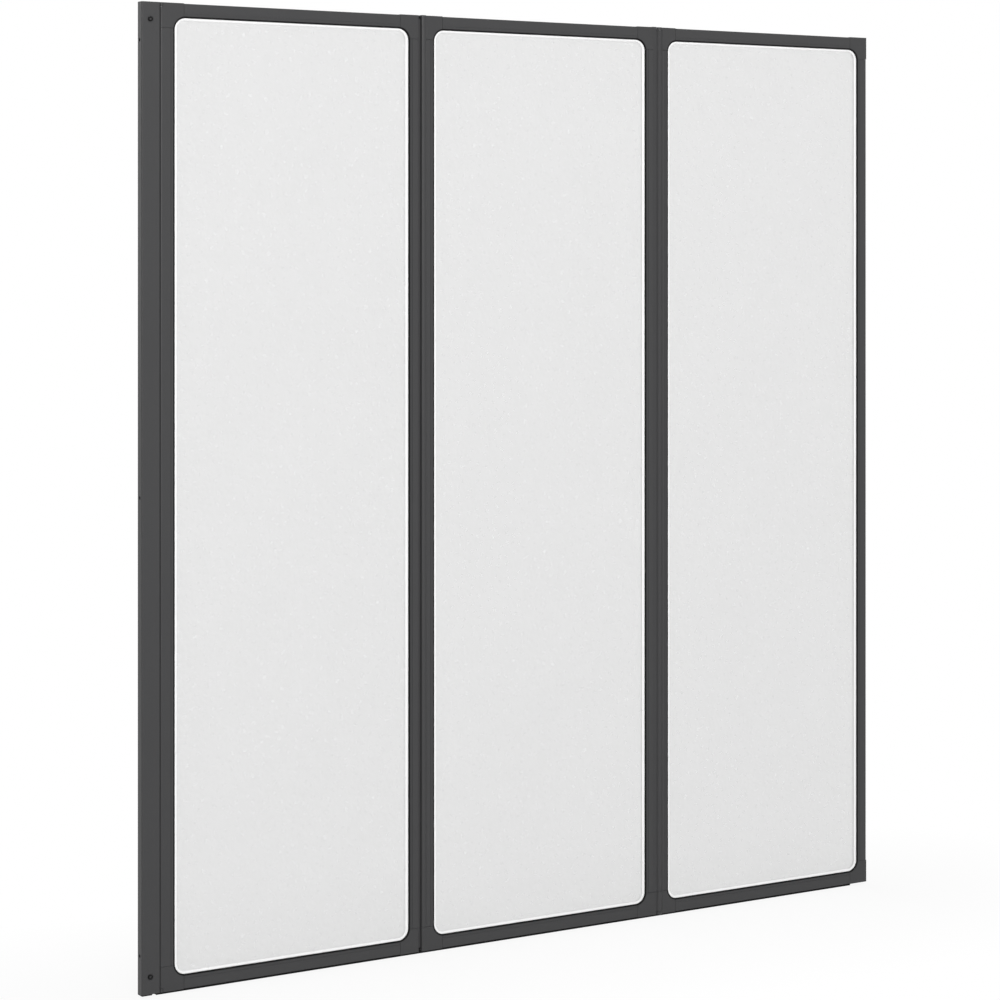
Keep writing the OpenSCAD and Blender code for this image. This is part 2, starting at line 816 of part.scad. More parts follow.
wall_profile();
wall_profile_foot();
adjusting_profile();
locking_screws();
wall_hinge_block();  // wall_hinge_block_top
mirror([0, 0, 1]) wall_hinge_block();  // wall_hinge_block_bottom
wall_hinge_pins();
wall_hinge_washers();
for (k = LEAVES) {
    for (end = ENDS) rail(k, end);
    for (side = SIDES)
        stile(k, side);
    for (end = ENDS, side = SIDES)
        corner(k, end, side);
    pane(k);
    gasket(k);
    bottom_seal(k);
}
hinge_profile("left");  // fold_1_2_hinge_profile
hinge_profile("right");  // fold_2_3_hinge_profile
fold_pins(axis_12_x, 1);  // fold_1_2_pins
fold_pins(axis_23_x, -1);  // fold_2_3_pins
fold_washers(axis_12_x, 1);  // fold_1_2_washers
fold_washers(axis_23_x, -1);  // fold_2_3_washers
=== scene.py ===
import math

import bmesh
import bpy
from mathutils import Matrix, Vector


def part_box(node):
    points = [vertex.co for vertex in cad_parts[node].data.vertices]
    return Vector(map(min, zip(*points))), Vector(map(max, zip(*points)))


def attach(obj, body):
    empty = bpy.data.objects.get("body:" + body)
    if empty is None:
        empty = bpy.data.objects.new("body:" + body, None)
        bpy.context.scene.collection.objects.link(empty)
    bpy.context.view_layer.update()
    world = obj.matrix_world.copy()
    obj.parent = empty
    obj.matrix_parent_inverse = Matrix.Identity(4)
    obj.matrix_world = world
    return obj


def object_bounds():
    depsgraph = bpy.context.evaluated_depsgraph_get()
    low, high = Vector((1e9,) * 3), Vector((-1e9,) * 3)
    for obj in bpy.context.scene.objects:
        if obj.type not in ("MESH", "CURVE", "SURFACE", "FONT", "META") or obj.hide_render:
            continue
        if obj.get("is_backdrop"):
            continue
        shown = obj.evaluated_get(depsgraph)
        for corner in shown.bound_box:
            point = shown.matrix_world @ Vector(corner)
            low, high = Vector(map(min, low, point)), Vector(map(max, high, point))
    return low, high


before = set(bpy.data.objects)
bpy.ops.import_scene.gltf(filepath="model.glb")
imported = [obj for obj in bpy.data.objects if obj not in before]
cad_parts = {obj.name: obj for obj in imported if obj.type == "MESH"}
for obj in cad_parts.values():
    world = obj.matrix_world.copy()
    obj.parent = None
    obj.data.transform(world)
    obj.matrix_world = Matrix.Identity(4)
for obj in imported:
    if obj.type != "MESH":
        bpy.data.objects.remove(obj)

# A framed shower screen of three folding leaves. Everything is in metres: x runs away from
# the wall, the front is at -y, and z is up.

LEAVES = (1, 2, 3)
# Lowest and highest corner of the CAD model, before anything is added to it
cad_low, cad_high = (Vector(corner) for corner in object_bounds())


# Small helpers

def new_tree_material(name):
    """A material with a Principled shader, and the tree's nodes and links."""
    material = bpy.data.materials.new(name)
    material.use_nodes = True
    tree = material.node_tree
    tree.nodes.clear()
    shader = tree.nodes.new("ShaderNodeBsdfPrincipled")
    output = tree.nodes.new("ShaderNodeOutputMaterial")
    tree.links.new(shader.outputs["BSDF"], output.inputs["Surface"])
    return material, tree, shader


def object_place(tree):
    """The place on the object that a pattern is read at."""
    return tree.nodes.new("ShaderNodeTexCoord").outputs["Object"]


def math_node(tree, operation, first, second=None, clamp=False):
    """One Math node whose inputs are sockets or plain numbers."""
    node = tree.nodes.new("ShaderNodeMath")
    node.operation = operation
    node.use_clamp = clamp
    for socket, value in zip(node.inputs, (first, second)):
        if value is None:
            continue
        if isinstance(value, (int, float)):
            socket.default_value = value
        else:
            tree.links.new(value, socket)
    return node.outputs[0]


def vector_node(tree, operation, first, second=None):
    """One Vector Math node whose inputs are sockets or plain vectors."""
    node = tree.nodes.new("ShaderNodeVectorMath")
    node.operation = operation
    for socket, value in zip(node.inputs, (first, second)):
        if hasattr(value, "is_linked"):
            tree.links.new(value, socket)
        elif value is not None:
            socket.default_value = value
    return node.outputs["Value" if operation == "LENGTH" else "Vector"]


def centred_place(tree, middle, keep):
    """The place counted from a middle point, with the axes that keep leaves out set to 0."""
    moved = vector_node(tree, "SUBTRACT", object_place(tree), tuple(middle))
    return vector_node(tree, "MULTIPLY", moved, keep)


def noise_node(tree, place, scale, detail=3.0, roughness=0.5):
    """A noise pattern; scale may be a socket."""
    node = tree.nodes.new("ShaderNodeTexNoise")
    node.inputs["Detail"].default_value = detail
    node.inputs["Roughness"].default_value = roughness
    tree.links.new(place, node.inputs["Vector"])
    if isinstance(scale, (int, float)):
        node.inputs["Scale"].default_value = scale
    else:
        tree.links.new(scale, node.inputs["Scale"])
    return node.outputs["Fac"]


def scaled_colour(tree, colour, factor):
    """A colour made lighter or darker by a value near 1."""
    node = tree.nodes.new("ShaderNodeVectorMath")
    node.operation = "SCALE"
    tree.links.new(colour, node.inputs[0])
    tree.links.new(factor, node.inputs["Scale"])
    return node.outputs["Vector"]


def masked_colour(tree, mask, outside, inside):
    """One colour where the mask is 0 and another where it is 1."""
    node = tree.nodes.new("ShaderNodeMix")
    node.data_type = "RGBA"
    node.inputs["A"].default_value = outside
    node.inputs["B"].default_value = inside
    tree.links.new(mask, node.inputs["Factor"])
    return node.outputs["Result"]


def new_group(name, inputs, outputs):
    """An empty shader node group with named sockets."""
    group = bpy.data.node_groups.new(name, "ShaderNodeTree")
    for socket_name, kind, value in inputs:
        socket = group.interface.new_socket(socket_name, in_out="INPUT", socket_type=kind)
        if value is not None:
            socket.default_value = value
    for socket_name, kind in outputs:
        group.interface.new_socket(socket_name, in_out="OUTPUT", socket_type=kind)
    return group, group.nodes.new("NodeGroupInput"), group.nodes.new("NodeGroupOutput")


def place_group(tree, group, **values):
    """Puts a group in a material and sets its inputs; underscores stand for spaces."""
    node = tree.nodes.new("ShaderNodeGroup")
    node.node_tree = group
    for key, value in values.items():
        socket = node.inputs[key.replace("_", " ")]
        if hasattr(value, "is_linked"):
            tree.links.new(value, socket)
        else:
            socket.default_value = value
    return node


def bump(tree, shader, height, strength, distance):
    """Gives a shader its normal from a height, through a Bump node; distance in metres."""
    node = tree.nodes.new("ShaderNodeBump")
    node.inputs["Strength"].default_value = strength
    node.inputs["Distance"].default_value = distance
    tree.links.new(height, node.inputs["Height"])
    tree.links.new(node.outputs["Normal"], shader.inputs["Normal"])


def link_in_scene(name, data):
    """A new object at the origin, linked in the scene."""
    made = bpy.data.objects.new(name, data)
    bpy.context.scene.collection.objects.link(made)
    return made


# Surface effects shared by the finishes

# Cycles to a metre of the slow change of tone, and the shares of slow change and fine grain
SLOW_SCALE, SLOW_SHARE, FINE_SHARE = 7.0, 0.7, 0.3


def make_coat_group():
    """Orange peel, slow tone change and roughness change of a coated or moulded surface."""
    group, given, result = new_group(
        "coat_grain",
        [("Place", "NodeSocketVector", None), ("Colour", "NodeSocketColor", (0.1, 0.1, 0.1, 1)),
         ("Tone Change", "NodeSocketFloat", 0.06), ("Roughness", "NodeSocketFloat", 0.5),
         ("Roughness Change", "NodeSocketFloat", 0.08),
         ("Grain Scale", "NodeSocketFloat", 900.0)],
        [("Colour", "NodeSocketColor"), ("Roughness", "NodeSocketFloat"),
         ("Height", "NodeSocketFloat")],
    )
    place = given.outputs["Place"]
    slow = noise_node(group, place, SLOW_SCALE, detail=4.0)
    fine = noise_node(group, place, given.outputs["Grain Scale"], detail=2.0)
    both = math_node(group, "ADD", math_node(group, "MULTIPLY", slow, SLOW_SHARE),
                     math_node(group, "MULTIPLY", fine, FINE_SHARE))
    centred = math_node(group, "SUBTRACT", both, 0.5)
    change = math_node(group, "MULTIPLY", centred, given.outputs["Tone Change"])
    tone = math_node(group, "ADD", change, 1.0)
    group.links.new(scaled_colour(group, given.outputs["Colour"], tone), result.inputs["Colour"])
    rough = math_node(group, "ADD", given.outputs["Roughness"],
                      math_node(group, "MULTIPLY", centred, given.outputs["Roughness Change"]))
    group.links.new(rough, result.inputs["Roughness"])
    group.links.new(fine, result.inputs["Height"])
    return group


def make_draw_line_group():
    """Faint lines along an extruded section, from the die; stretched along one axis."""
    group, given, result = new_group(
        "draw_lines",
        [("Place", "NodeSocketVector", None), ("Stretch", "NodeSocketVector", (1.0, 1.0, 0.01)),
         ("Scale", "NodeSocketFloat", 1400.0)],
        [("Height", "NodeSocketFloat")],
    )
    long_place = vector_node(group, "MULTIPLY", given.outputs["Place"], given.outputs["Stretch"])
    lines = noise_node(group, long_place, given.outputs["Scale"], detail=2.0)
    group.links.new(lines, result.inputs["Height"])
    return group


def make_rectangle_group():
    """1 inside a rounded rectangle about the middle, falling to 0 at its edge.

    The place comes with the axis across the rectangle set to 0. Half Size is that of the
    rectangle less its corner radius; with a half size of 0 the rectangle is a circle.
    """
    group, given, result = new_group(
        "soft_rectangle",
        [("Place", "NodeSocketVector", None), ("Half Size", "NodeSocketVector", (0.2, 0.0, 0.7)),
         ("Corner Radius", "NodeSocketFloat", 0.014), ("Softness", "NodeSocketFloat", 0.001)],
        [("Mask", "NodeSocketFloat")],
    )
    size = vector_node(group, "ABSOLUTE", given.outputs["Place"])
    past = vector_node(group, "SUBTRACT", size, given.outputs["Half Size"])
    kept = vector_node(group, "MAXIMUM", past, (0.0, 0.0, 0.0))
    far = vector_node(group, "LENGTH", kept)
    left = math_node(group, "SUBTRACT", given.outputs["Corner Radius"], far)
    inside = math_node(group, "DIVIDE", left, given.outputs["Softness"], clamp=True)
    group.links.new(inside, result.inputs["Mask"])
    return group


coat_grain = make_coat_group()
draw_lines = make_draw_line_group()
soft_rectangle = make_rectangle_group()


# Finishes

def add_coat(tree, shader, colour, tone_change, roughness, roughness_change, grain):
    """Gives a shader a grained coat's colour and roughness; returns the grain's height."""
    coat = place_group(tree, coat_grain, Place=object_place(tree), Colour=colour,
                       Tone_Change=tone_change, Roughness=roughness,
                       Roughness_Change=roughness_change, Grain_Scale=grain)
    tree.links.new(coat.outputs["Colour"], shader.inputs["Base Color"])
    tree.links.new(coat.outputs["Roughness"], shader.inputs["Roughness"])
    return coat.outputs["Height"]


# Draw lines in the powder coat: lines to a metre across, how much slower they change along
# the section, and their share beside the coat's grain
DRAW_LINE_SCALE, DRAW_LINE_SLOW, DRAW_LINE_SHARE = 1300.0, 0.01, 0.5


def coated_metal(name, colour, along, roughness=0.46, specular=0.32):
    """Satin powder coat on a drawn section; along is the direction of its length."""
    material, tree, shader = new_tree_material(name)
    grain = add_coat(tree, shader, (*colour, 1), tone_change=0.10, roughness=roughness,
                     roughness_change=0.16, grain=1100.0)
    stretch = {"x": (DRAW_LINE_SLOW, 1.0, 1.0), "z": (1.0, 1.0, DRAW_LINE_SLOW)}[along]
    lines = place_group(tree, draw_lines, Place=object_place(tree), Stretch=stretch,
                        Scale=DRAW_LINE_SCALE)
    share = math_node(tree, "MULTIPLY", lines.outputs["Height"], DRAW_LINE_SHARE)
    height = math_node(tree, "ADD", grain, share)
    bump(tree, shader, height, strength=0.25, distance=0.00006)
    shader.inputs["Specular IOR Level"].default_value = specular
    return material


def moulded_plastic(name, colour, roughness, grain, specular=0.3):
    """Fine-grained moulded plastic or rubber."""
    material, tree, shader = new_tree_material(name)
    height = add_coat(tree, shader, (*colour, 1), tone_change=0.10, roughness=roughness,
                      roughness_change=0.12, grain=grain)
    bump(tree, shader, height, strength=0.35, distance=0.00008)
    shader.inputs["Specular IOR Level"].default_value = specular
    return material


# Colour of bare steel, and the rings that grinding leaves: rings to a metre along the pin,
# and how much slower they change round it
STEEL_TONE = (0.58, 0.58, 0.59, 1)
RING_SCALE, RING_SLOW = 3000.0, 0.02


def ground_steel(name):
    """Steel pins, with rings from grinding round their length."""
    material, tree, shader = new_tree_material(name)
    add_coat(tree, shader, STEEL_TONE, tone_change=0.12, roughness=0.30,
             roughness_change=0.2, grain=700.0)
    rings = place_group(tree, draw_lines, Place=object_place(tree),
                        Stretch=(RING_SLOW, RING_SLOW, 1.0), Scale=RING_SCALE)
    bump(tree, shader, rings.outputs["Height"], strength=0.2, distance=0.00003)
    shader.inputs["Metallic"].default_value = 1.0
    return material


# Radius of a locking screw's head, of its lighter middle, and the width over which that middle
# fades into the painted shade round it
SCREW_HEAD_R, SCREW_TOP_R, SCREW_TOP_FADE = 0.0034, 0.0018, 0.0008


def screw_with_painted_shade(name, seat_shade_colour, head_top_colour):
    """Two screws in one node, one above the other, near-black as painted shade of their sunk
    seats, with a lighter middle on each head.
    """
    material, tree, shader = new_tree_material(name)
    low, high = (Vector(corner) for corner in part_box("locking_screws"))
    # Folding the place at the middle height lays both screws' axes on one point
    from_middle = centred_place(tree, (low + high) / 2, (1.0, 0.0, 1.0))
    folded = vector_node(tree, "ABSOLUTE", from_middle)
    axis = (0.0, 0.0, (high.z - low.z) / 2 - SCREW_HEAD_R)
    head_top = place_group(tree, soft_rectangle, Place=vector_node(tree, "SUBTRACT", folded, axis),
                         Half_Size=(0.0, 0.0, 0.0), Corner_Radius=SCREW_TOP_R,
                         Softness=SCREW_TOP_FADE)
    # Painted shade: near-black round each head for the shade of the sunk seat, lighter only in the
    # head's middle
    tone = masked_colour(tree, head_top.outputs["Mask"], (*seat_shade_colour, 1), (*head_top_colour, 1))
    add_coat(tree, shader, tone, tone_change=0.10, roughness=0.5, roughness_change=0.12,
             grain=1200.0)
    shader.inputs["Specular IOR Level"].default_value = 0.15
    return material


# The frame's dark grey; the crown of the second fold is duller, and painted a little lighter than
# the same frame paint, as painted light that makes up for the sheen it loses
FRAME_TONE, CROWN_PAINTED_LIGHT_TONE = (0.0364, 0.0364, 0.0376), (0.048, 0.048, 0.0494)
frame_upright = coated_metal("frame_paint_upright", FRAME_TONE, "z")
frame_level = coated_metal("frame_paint_level", FRAME_TONE, "x")
crown_metal = coated_metal("hinge_crown_paint", CROWN_PAINTED_LIGHT_TONE, "z", roughness=0.66, specular=0.17)
inner_metal = coated_metal("inner_profile_paint", (0.037, 0.037, 0.0382), "z")
corner_plastic = moulded_plastic("corner_plastic", FRAME_TONE, roughness=0.5, grain=1500.0)
gasket_rubber = moulded_plastic("gasket_rubber", (0.007, 0.007, 0.0072), roughness=0.7,
                                grain=1900.0, specular=0.12)
seal_rubber = moulded_plastic("seal_rubber", (0.006, 0.006, 0.0062), roughness=0.7,
                              grain=1300.0, specular=0.12)
washer_nylon = moulded_plastic("washer_nylon", (0.02, 0.02, 0.0205), roughness=0.5,
                               grain=1600.0)
# Near-black screws as painted shade of their seats, with a lighter tone in the middle of each head
screw_coat = screw_with_painted_shade("screw_coat", seat_shade_colour=(0.004, 0.004, 0.004),
                          head_top_colour=(0.06, 0.06, 0.062))
pin_steel = ground_steel("pin_steel")


# Panes and their drops

# How far the gasket's lip reaches over a pane
LIP_W = 0.0024
# How far a pane reaches into its groove
PANE_GRIP = 0.0055
# Bright border between the lip and the field of drops: left and foot, then right and top
LOW_MARGIN, HIGH_MARGIN = Vector((0.0026, 0, 0.0029)), Vector((0.0038, 0, 0.0020))
# Radius of the field's corners, and the width over which the border fades into the field
FIELD_R, FIELD_FADE = 0.0134, 0.002
# Colour and cover of a pane's polished border, and of the veil over its drop field
BORDER_TONE, BORDER_ALPHA = (0.97, 0.97, 0.97, 1), 0.9
VEIL_TONE, VEIL_ALPHA = (0.66, 0.66, 0.66, 1), 0.45
# The pane's fine relief: hollows to a metre, their depth beside the slower drift, the drift's
# cycles to a metre, and the height that both give the surface
HOLLOW_SCALE, HOLLOW_DEPTH = 130.0, 0.6
DRIFT_SCALE, RELIEF_HEIGHT = 40.0, 0.0012


def drop_field(k):
    """Middle and half size of the field of drops on leaf k's pane, and where its front is."""
    low, high = (Vector(corner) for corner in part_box(f"leaf_{k}_pane"))
    hidden = Vector((PANE_GRIP + LIP_W, 0, PANE_GRIP + LIP_W))
    field_low, field_high = low + hidden + LOW_MARGIN, high - hidden - HIGH_MARGIN
    return (field_low + field_high) / 2, (field_high - field_low) / 2, low.y


def pane_acrylic(k):
    """Acrylic veiled by the fine drop texture, with a polished white border round it."""
    middle, half, _ = drop_field(k)
    material, tree, shader = new_tree_material(f"pane_acrylic_{k}")
    place = object_place(tree)
    field = place_group(tree, soft_rectangle, Place=centred_place(tree, middle, (1.0, 0.0, 1.0)),
                        Half_Size=(half.x - FIELD_R, 0.0, half.z - FIELD_R),
                        Corner_Radius=FIELD_R, Softness=FIELD_FADE)
    mask = field.outputs["Mask"]

    hollows = tree.nodes.new("ShaderNodeTexVoronoi")
    hollows.feature = "SMOOTH_F1"
    hollows.inputs["Scale"].default_value = HOLLOW_SCALE
    hollows.inputs["Smoothness"].default_value = 0.6
    hollows.inputs["Randomness"].default_value = 1.0
    tree.links.new(place, hollows.inputs["Vector"])
    sunk = math_node(tree, "MULTIPLY", hollows.outputs["Distance"], -HOLLOW_DEPTH)
    height = math_node(tree, "ADD", sunk, noise_node(tree, place, DRIFT_SCALE, detail=3.0))
    bump(tree, shader, height, strength=0.8, distance=RELIEF_HEIGHT)

    add_coat(tree, shader, masked_colour(tree, mask, BORDER_TONE, VEIL_TONE), tone_change=0.05,
             roughness=0.42, roughness_change=0.2, grain=160.0)
    thinner = math_node(tree, "MULTIPLY", mask, BORDER_ALPHA - VEIL_ALPHA)
    alpha = math_node(tree, "SUBTRACT", BORDER_ALPHA, thinner)
    tree.links.new(alpha, shader.inputs["Alpha"])
    shader.inputs["Specular IOR Level"].default_value = 0.4
    return material


# Colour and cover of a drop's outside
DROP_TONE, DROP_ALPHA = (0.95, 0.95, 0.95, 1), 0.07


def drop_acrylic():
    """The small drops that stand on a pane; their inside faces are clear."""
    material, tree, shader = new_tree_material("drop_acrylic")
    add_coat(tree, shader, DROP_TONE, tone_change=0.06, roughness=0.36, roughness_change=0.1,
             grain=300.0)
    inside = tree.nodes.new("ShaderNodeNewGeometry").outputs["Backfacing"]
    outside = math_node(tree, "SUBTRACT", 1.0, inside)
    alpha = math_node(tree, "MULTIPLY", outside, DROP_ALPHA)
    tree.links.new(alpha, shader.inputs["Alpha"])
    return material


# Sides of a drop seen from the front, and radius and height of its rings from the foot up,
# as shares of the drop's own radius and height
DROP_SIDES = 7
DROP_RINGS = ((1.0, -0.12), (0.74, 0.52), (0.40, 0.87))


def drop_shape():
    """One drop: a low closed dome of unit radius and height, with its foot just below zero."""
    mesh = bpy.data.meshes.new("drop_shape")
    shape = bmesh.new()
    angles = [math.tau * i / DROP_SIDES for i in range(DROP_SIDES)]
    rings = [[shape.verts.new((radius * math.cos(a), radius * math.sin(a), height))
              for a in angles] for radius, height in DROP_RINGS]
    top = shape.verts.new((0, 0, 1.0))
    sides = [(i, (i + 1) % DROP_SIDES) for i in range(DROP_SIDES)]
    for lower, upper in zip(rings, rings[1:]):
        for i, j in sides:
            shape.faces.new((lower[i], lower[j], upper[j], upper[i]))
    for i, j in sides:
        shape.faces.new((rings[-1][i], rings[-1][j], top))
    foot = shape.faces.new(list(reversed(rings[0])))
    # A sharp foot, or smooth shading would turn the rim's normals sideways
    for edge in foot.edges:
        edge.smooth = False
    shape.to_mesh(mesh)
    shape.free()
    return link_in_scene("drop_shape", mesh)


# Least distance between two drops, radius and height of a plain drop, and the first seed
DROP_SPACING, DROP_RADIUS, DROP_HEIGHT, DROP_SEED = 0.0095, 0.0024, 0.0003, 40
# Points tried for each square metre before those too close together go
DROP_DENSITY = 16000.0
# Smallest and largest drop, as factors of length, width and height
DROP_SMALLEST, DROP_LARGEST = (0.8, 0.6, 0.6), (2.2, 1.5, 1.3)
# How far the drops' middles stay inside the field's edge, and steps in each round corner
DROP_INSET, CORNER_STEPS = 0.0027, 6


def make_drop_tree(material):
    """Geometry Nodes that scatter drops over a flat sheet, with no two too close together.

    Returns the tree and the identifier of each input, because a modifier is set by these.
    """
    tree = bpy.data.node_groups.new("scatter_drops", "GeometryNodeTree")
    sockets = {}
    for name, kind, value in (("Sheet", "NodeSocketGeometry", None),
                              ("Drop", "NodeSocketObject", None),
                              ("Spacing", "NodeSocketFloat", DROP_SPACING),
                              ("Drop Radius", "NodeSocketFloat", DROP_RADIUS),
                              ("Drop Height", "NodeSocketFloat", DROP_HEIGHT),
                              ("Seed", "NodeSocketInt", DROP_SEED)):
        socket = tree.interface.new_socket(name, in_out="INPUT", socket_type=kind)
        if value is not None:
            socket.default_value = value
        sockets[name] = socket.identifier
    tree.interface.new_socket("Drops", in_out="OUTPUT", socket_type="NodeSocketGeometry")
    nodes, links = tree.nodes, tree.links
    given, result = nodes.new("NodeGroupInput"), nodes.new("NodeGroupOutput")

    points = nodes.new("GeometryNodeDistributePointsOnFaces")
    points.distribute_method = "POISSON"
    points.inputs["Density Max"].default_value = DROP_DENSITY
    links.new(given.outputs["Sheet"], points.inputs["Mesh"])
    links.new(given.outputs["Spacing"], points.inputs["Distance Min"])
    links.new(given.outputs["Seed"], points.inputs["Seed"])

    source = nodes.new("GeometryNodeObjectInfo")
    links.new(given.outputs["Drop"], source.inputs["Object"])

    def random_vector(least, most):
        """A random vector for each point, between two vectors."""
        node = nodes.new("FunctionNodeRandomValue")
        node.data_type = "FLOAT_VECTOR"
        node.inputs[0].default_value = least
        node.inputs[1].default_value = most
        links.new(given.outputs["Seed"], node.inputs["Seed"])
        return node.outputs[0]

    # Each drop is turned about the way it faces
    turn = random_vector((0.0, 0.0, 0.0), (0.0, 0.0, math.tau))
    spin = nodes.new("FunctionNodeRotateRotation")
    spin.rotation_space = "LOCAL"
    links.new(points.outputs["Rotation"], spin.inputs["Rotation"])
    links.new(turn, spin.inputs["Rotate By"])

    size = random_vector(DROP_SMALLEST, DROP_LARGEST)
    real = nodes.new("ShaderNodeCombineXYZ")
    links.new(given.outputs["Drop Radius"], real.inputs["X"])
    links.new(given.outputs["Drop Radius"], real.inputs["Y"])
    links.new(given.outputs["Drop Height"], real.inputs["Z"])
    scale = vector_node(tree, "MULTIPLY", size, real.outputs["Vector"])

    put = nodes.new("GeometryNodeInstanceOnPoints")
    links.new(points.outputs["Points"], put.inputs["Points"])
    links.new(source.outputs["Geometry"], put.inputs["Instance"])
    links.new(spin.outputs["Rotation"], put.inputs["Rotation"])
    links.new(scale, put.inputs["Scale"])
    solid = nodes.new("GeometryNodeRealizeInstances")
    links.new(put.outputs["Instances"], solid.inputs["Geometry"])
    smooth = nodes.new("GeometryNodeSetShadeSmooth")
    links.new(solid.outputs["Geometry"], smooth.inputs["Geometry"])
    finish = nodes.new("GeometryNodeSetMaterial")
    finish.inputs["Material"].default_value = material
    links.new(smooth.outputs["Geometry"], finish.inputs["Geometry"])
    links.new(finish.outputs["Geometry"], result.inputs["Drops"])
    return tree, sockets


def drop_sheet(k):
    """The flat field with round corners that leaf k's drops stand on, facing the front."""
    middle, half, front = drop_field(k)
    radius = FIELD_R - DROP_INSET
    shape = bmesh.new()
    rim = []
    for side_x, side_z, start in ((1, 1, 0), (-1, 1, 90), (-1, -1, 180), (1, -1, 270)):
        for step in range(CORNER_STEPS + 1):
            a = math.radians(start + 90 * step / CORNER_STEPS)
            rim.append(shape.verts.new((
                middle.x + side_x * (half.x - FIELD_R) + radius * math.cos(a), front,
                middle.z + side_z * (half.z - FIELD_R) + radius * math.sin(a))))
    face = shape.faces.new(rim)
    face.normal_update()
    if face.normal.y > 0:
        face.normal_flip()
    mesh = bpy.data.meshes.new(f"leaf_{k}_drop_sheet")
    shape.to_mesh(mesh)
    shape.free()
    return link_in_scene(f"leaf_{k}_drop_sheet", mesh)


def add_drops():
    """Drops on each pane's front, one mesh for each leaf."""
    tree, sockets = make_drop_tree(drop_acrylic())
    shape = drop_shape()
    for k in LEAVES:
        sheet = drop_sheet(k)
        scatter = sheet.modifiers.new("scatter_drops", "NODES")
        scatter.node_group = tree
        for name, value in (("Drop", shape), ("Spacing", DROP_SPACING),
                            ("Drop Radius", DROP_RADIUS), ("Drop Height", DROP_HEIGHT),
                            ("Seed", DROP_SEED + k)):
            scatter[sockets[name]] = value
        graph = bpy.context.evaluated_depsgraph_get()
        mesh = bpy.data.meshes.new_from_object(sheet.evaluated_get(graph))
        mesh.name = f"leaf_{k}_drops"
        sheet.modifiers.remove(scatter)
        drops = link_in_scene(f"leaf_{k}_drops", mesh)
        bpy.data.objects.remove(sheet)
        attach(drops, f"leaf_{k}")
    bpy.data.objects.remove(shape)


# Finishes on the CAD nodes

def finish_of(node):
    """The material of a CAD node."""
    if node.endswith("_pane"):
        return pane_acrylic(int(node.split("_")[1]))
    if node.endswith("_gasket"):
        return gasket_rubber
    if node.endswith("_bottom_seal") or node == "wall_profile_foot":
        return seal_rubber
    if node.endswith("_rail"):
        return frame_level
    if node.endswith("_corner") or node.startswith("wall_hinge_block"):
        return corner_plastic
    if node.endswith("_pins"):
        return pin_steel
    if node.endswith("_washers"):
        return washer_nylon
    if node == "locking_screws":
        return screw_coat
    if node == "adjusting_profile":
        return inner_metal
    if node == "fold_2_3_hinge_profile":
        return crown_metal
    return frame_upright


for name, cad_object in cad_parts.items():
    material = finish_of(name)
    if cad_object.material_slots:
        for slot in cad_object.material_slots:
            slot.material = material
    else:
        cad_object.data.materials.append(material)

add_drops()


# Floor, light and camera

# Gap between the floor and the lowest point of the seals
FLOOR_GAP = 0.0005
# Where the floor begins and ends, from left to right and from front to back
FLOOR_X, FLOOR_Y = (-30.0, 30.0), (-20.0, 60.0)
FLOOR_TONE = (0.84, 0.84, 0.84, 1)
# How far from the screen the floor still shows its shadow
SHADOW_REACH = 0.45
# Strength of the light from all round, from the sides and from straight above
SIDE_LIGHT, TOP_LIGHT = 0.66, 0.3
# How much of the floor beside the screen is seen as it is lit, and not as plain white
SHADOW_SHARE = 0.10
WHITE = (1.0, 1.0, 1.0, 1)


def background_ray(tree):
    """1 for a ray that shows the background: from the camera, a reflection or through a pane."""
    path = tree.nodes.new("ShaderNodeLightPath")
    seen = math_node(tree, "MAXIMUM", path.outputs["Is Camera Ray"], path.outputs["Is Glossy Ray"])
    return math_node(tree, "MAXIMUM", seen, path.outputs["Is Transmission Ray"])


def mix_shaders(tree, factor, first, second, output):
    """The first shader where the factor is 0 and the second where it is 1, as the surface."""
    mix = tree.nodes.new("ShaderNodeMixShader")
    for source, socket in zip((factor, first, second), mix.inputs):
        tree.links.new(source, socket)
    tree.links.new(mix.outputs["Shader"], output.inputs["Surface"])


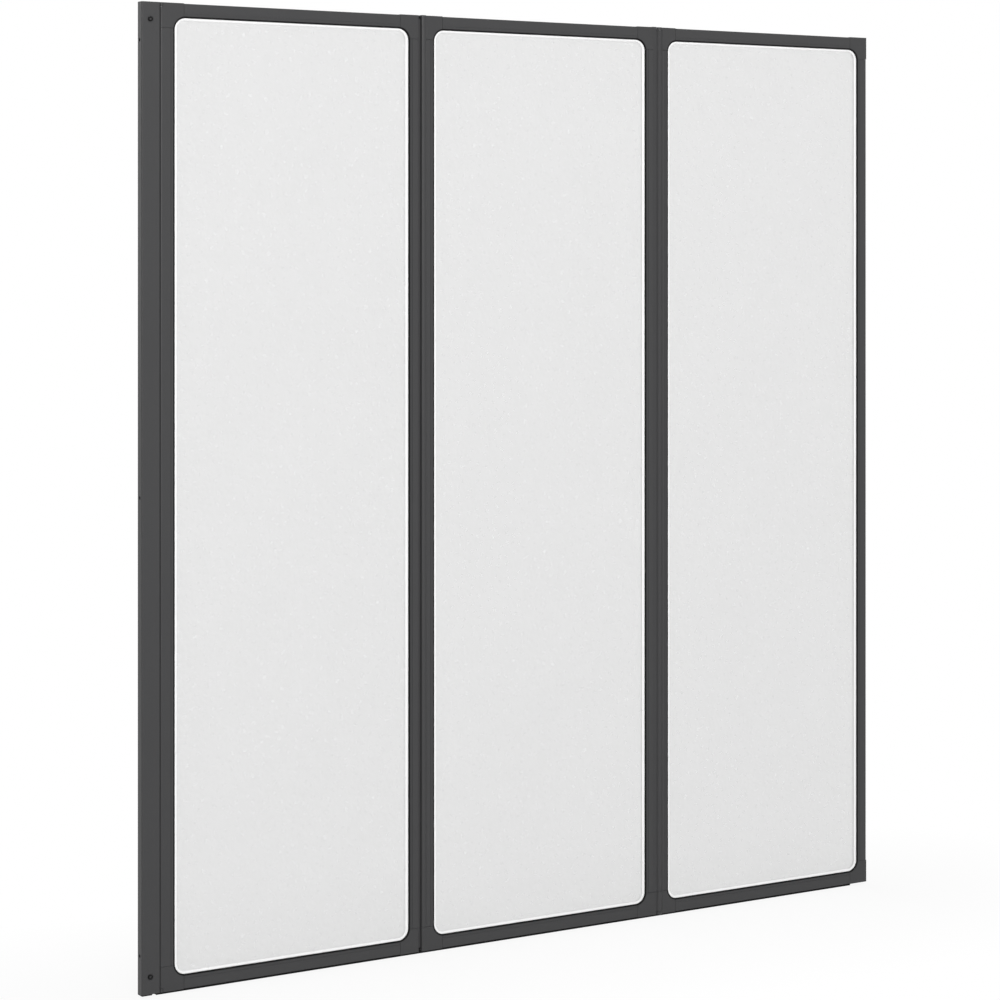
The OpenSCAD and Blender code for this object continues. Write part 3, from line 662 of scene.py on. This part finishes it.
def make_floor():
    """A pale floor that is plain white away from the screen and keeps its shadow near it."""
    mesh = bpy.data.meshes.new("pale_floor")
    (left, right), (front, back), z = FLOOR_X, FLOOR_Y, cad_low.z - FLOOR_GAP
    corners = [(left, front, z), (right, front, z), (right, back, z), (left, back, z)]
    mesh.from_pydata(corners, [], [(0, 1, 2, 3)])
    floor = link_in_scene("pale_floor", mesh)
    material, tree, shader = new_tree_material("pale_floor")
    shader.inputs["Base Color"].default_value = FLOOR_TONE
    shader.inputs["Roughness"].default_value = 0.9
    shader.inputs["Specular IOR Level"].default_value = 0.1

    middle = (cad_low + cad_high) / 2
    half = (cad_high - cad_low) / 2
    near = place_group(tree, soft_rectangle, Place=centred_place(tree, middle, (1.0, 1.0, 0.0)),
                       Half_Size=(half.x, half.y, 0.0), Corner_Radius=SHADOW_REACH,
                       Softness=SHADOW_REACH)
    shaded = math_node(tree, "MULTIPLY", near.outputs["Mask"], SHADOW_SHARE)
    plain = math_node(tree, "SUBTRACT", 1.0, shaded)
    white = tree.nodes.new("ShaderNodeEmission")
    output = next(n for n in tree.nodes if n.type == "OUTPUT_MATERIAL")
    mix_shaders(tree, math_node(tree, "MULTIPLY", plain, background_ray(tree)),
                shader.outputs["BSDF"], white.outputs["Emission"], output)
    mesh.materials.append(material)
    floor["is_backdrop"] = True


def make_world():
    """A white background, and a softer light from all round."""
    world = bpy.data.worlds.new("white_room")
    bpy.context.scene.world = world
    world.use_nodes = True
    tree = world.node_tree
    tree.nodes.clear()
    light, white = (tree.nodes.new("ShaderNodeBackground") for _ in range(2))
    for background in (light, white):
        background.inputs["Color"].default_value = WHITE
    parts = tree.nodes.new("ShaderNodeSeparateXYZ")
    direction = tree.nodes.new("ShaderNodeTexCoord").outputs["Generated"]
    tree.links.new(direction, parts.inputs["Vector"])
    overhead = math_node(tree, "MAXIMUM", parts.outputs["Z"], 0.0)
    weaker = math_node(tree, "MULTIPLY", overhead, SIDE_LIGHT - TOP_LIGHT)
    strength = math_node(tree, "SUBTRACT", SIDE_LIGHT, weaker)
    tree.links.new(strength, light.inputs["Strength"])
    mix_shaders(tree, background_ray(tree), light.outputs["Background"],
                white.outputs["Background"], tree.nodes.new("ShaderNodeOutputWorld"))


# The point that the lamps are aimed at, in the middle of the screen
LAMP_AIM = Vector((0.65, 0.0, 0.0))


def turn_towards(made, place, direction):
    """Puts a lamp or camera in its place, upright, and looking in a direction."""
    made.location = place
    made.rotation_euler = direction.to_track_quat("-Z", "Y").to_euler()


def soft_lamp(name, place, size, power):
    """A large square lamp aimed at the screen; size is its side, and power is in watts."""
    data = bpy.data.lights.new(name, "AREA")
    data.shape = "SQUARE"
    data.size = size
    data.energy = power
    turn_towards(link_in_scene(name, data), place, LAMP_AIM - Vector(place))


# The photograph's view: lens and sensor in millimetres, shifts as shares of the width
LENS, SENSOR_W = 96.955, 36.0
SHIFT_X, SHIFT_Y = -0.0008, -0.25665
CAMERA_PLACE, CAMERA_DIRECTION = (-1.541, -3.495, 0.358), Vector((0.5215, 0.8533, 0.0))


def make_camera():
    """A level camera a little to the left, shifted down, with strong perspective."""
    data = bpy.data.cameras.new("photo_view")
    data.sensor_width, data.lens = SENSOR_W, LENS
    data.shift_x, data.shift_y = SHIFT_X, SHIFT_Y
    data.clip_start, data.clip_end = 0.05, 100.0
    camera = link_in_scene("photo_view", data)
    turn_towards(camera, CAMERA_PLACE, CAMERA_DIRECTION)
    bpy.context.scene.camera = camera


make_floor()
make_world()
soft_lamp("key_lamp", (-0.9, -6.2, 2.0), size=3.2, power=280.0)
soft_lamp("fill_lamp", (3.4, -2.6, 1.2), size=2.6, power=7.0)
soft_lamp("rear_lamp", (0.4, 3.8, 1.4), size=2.6, power=45.0)
make_camera()
bpy.context.scene.view_settings.view_transform = "Standard"
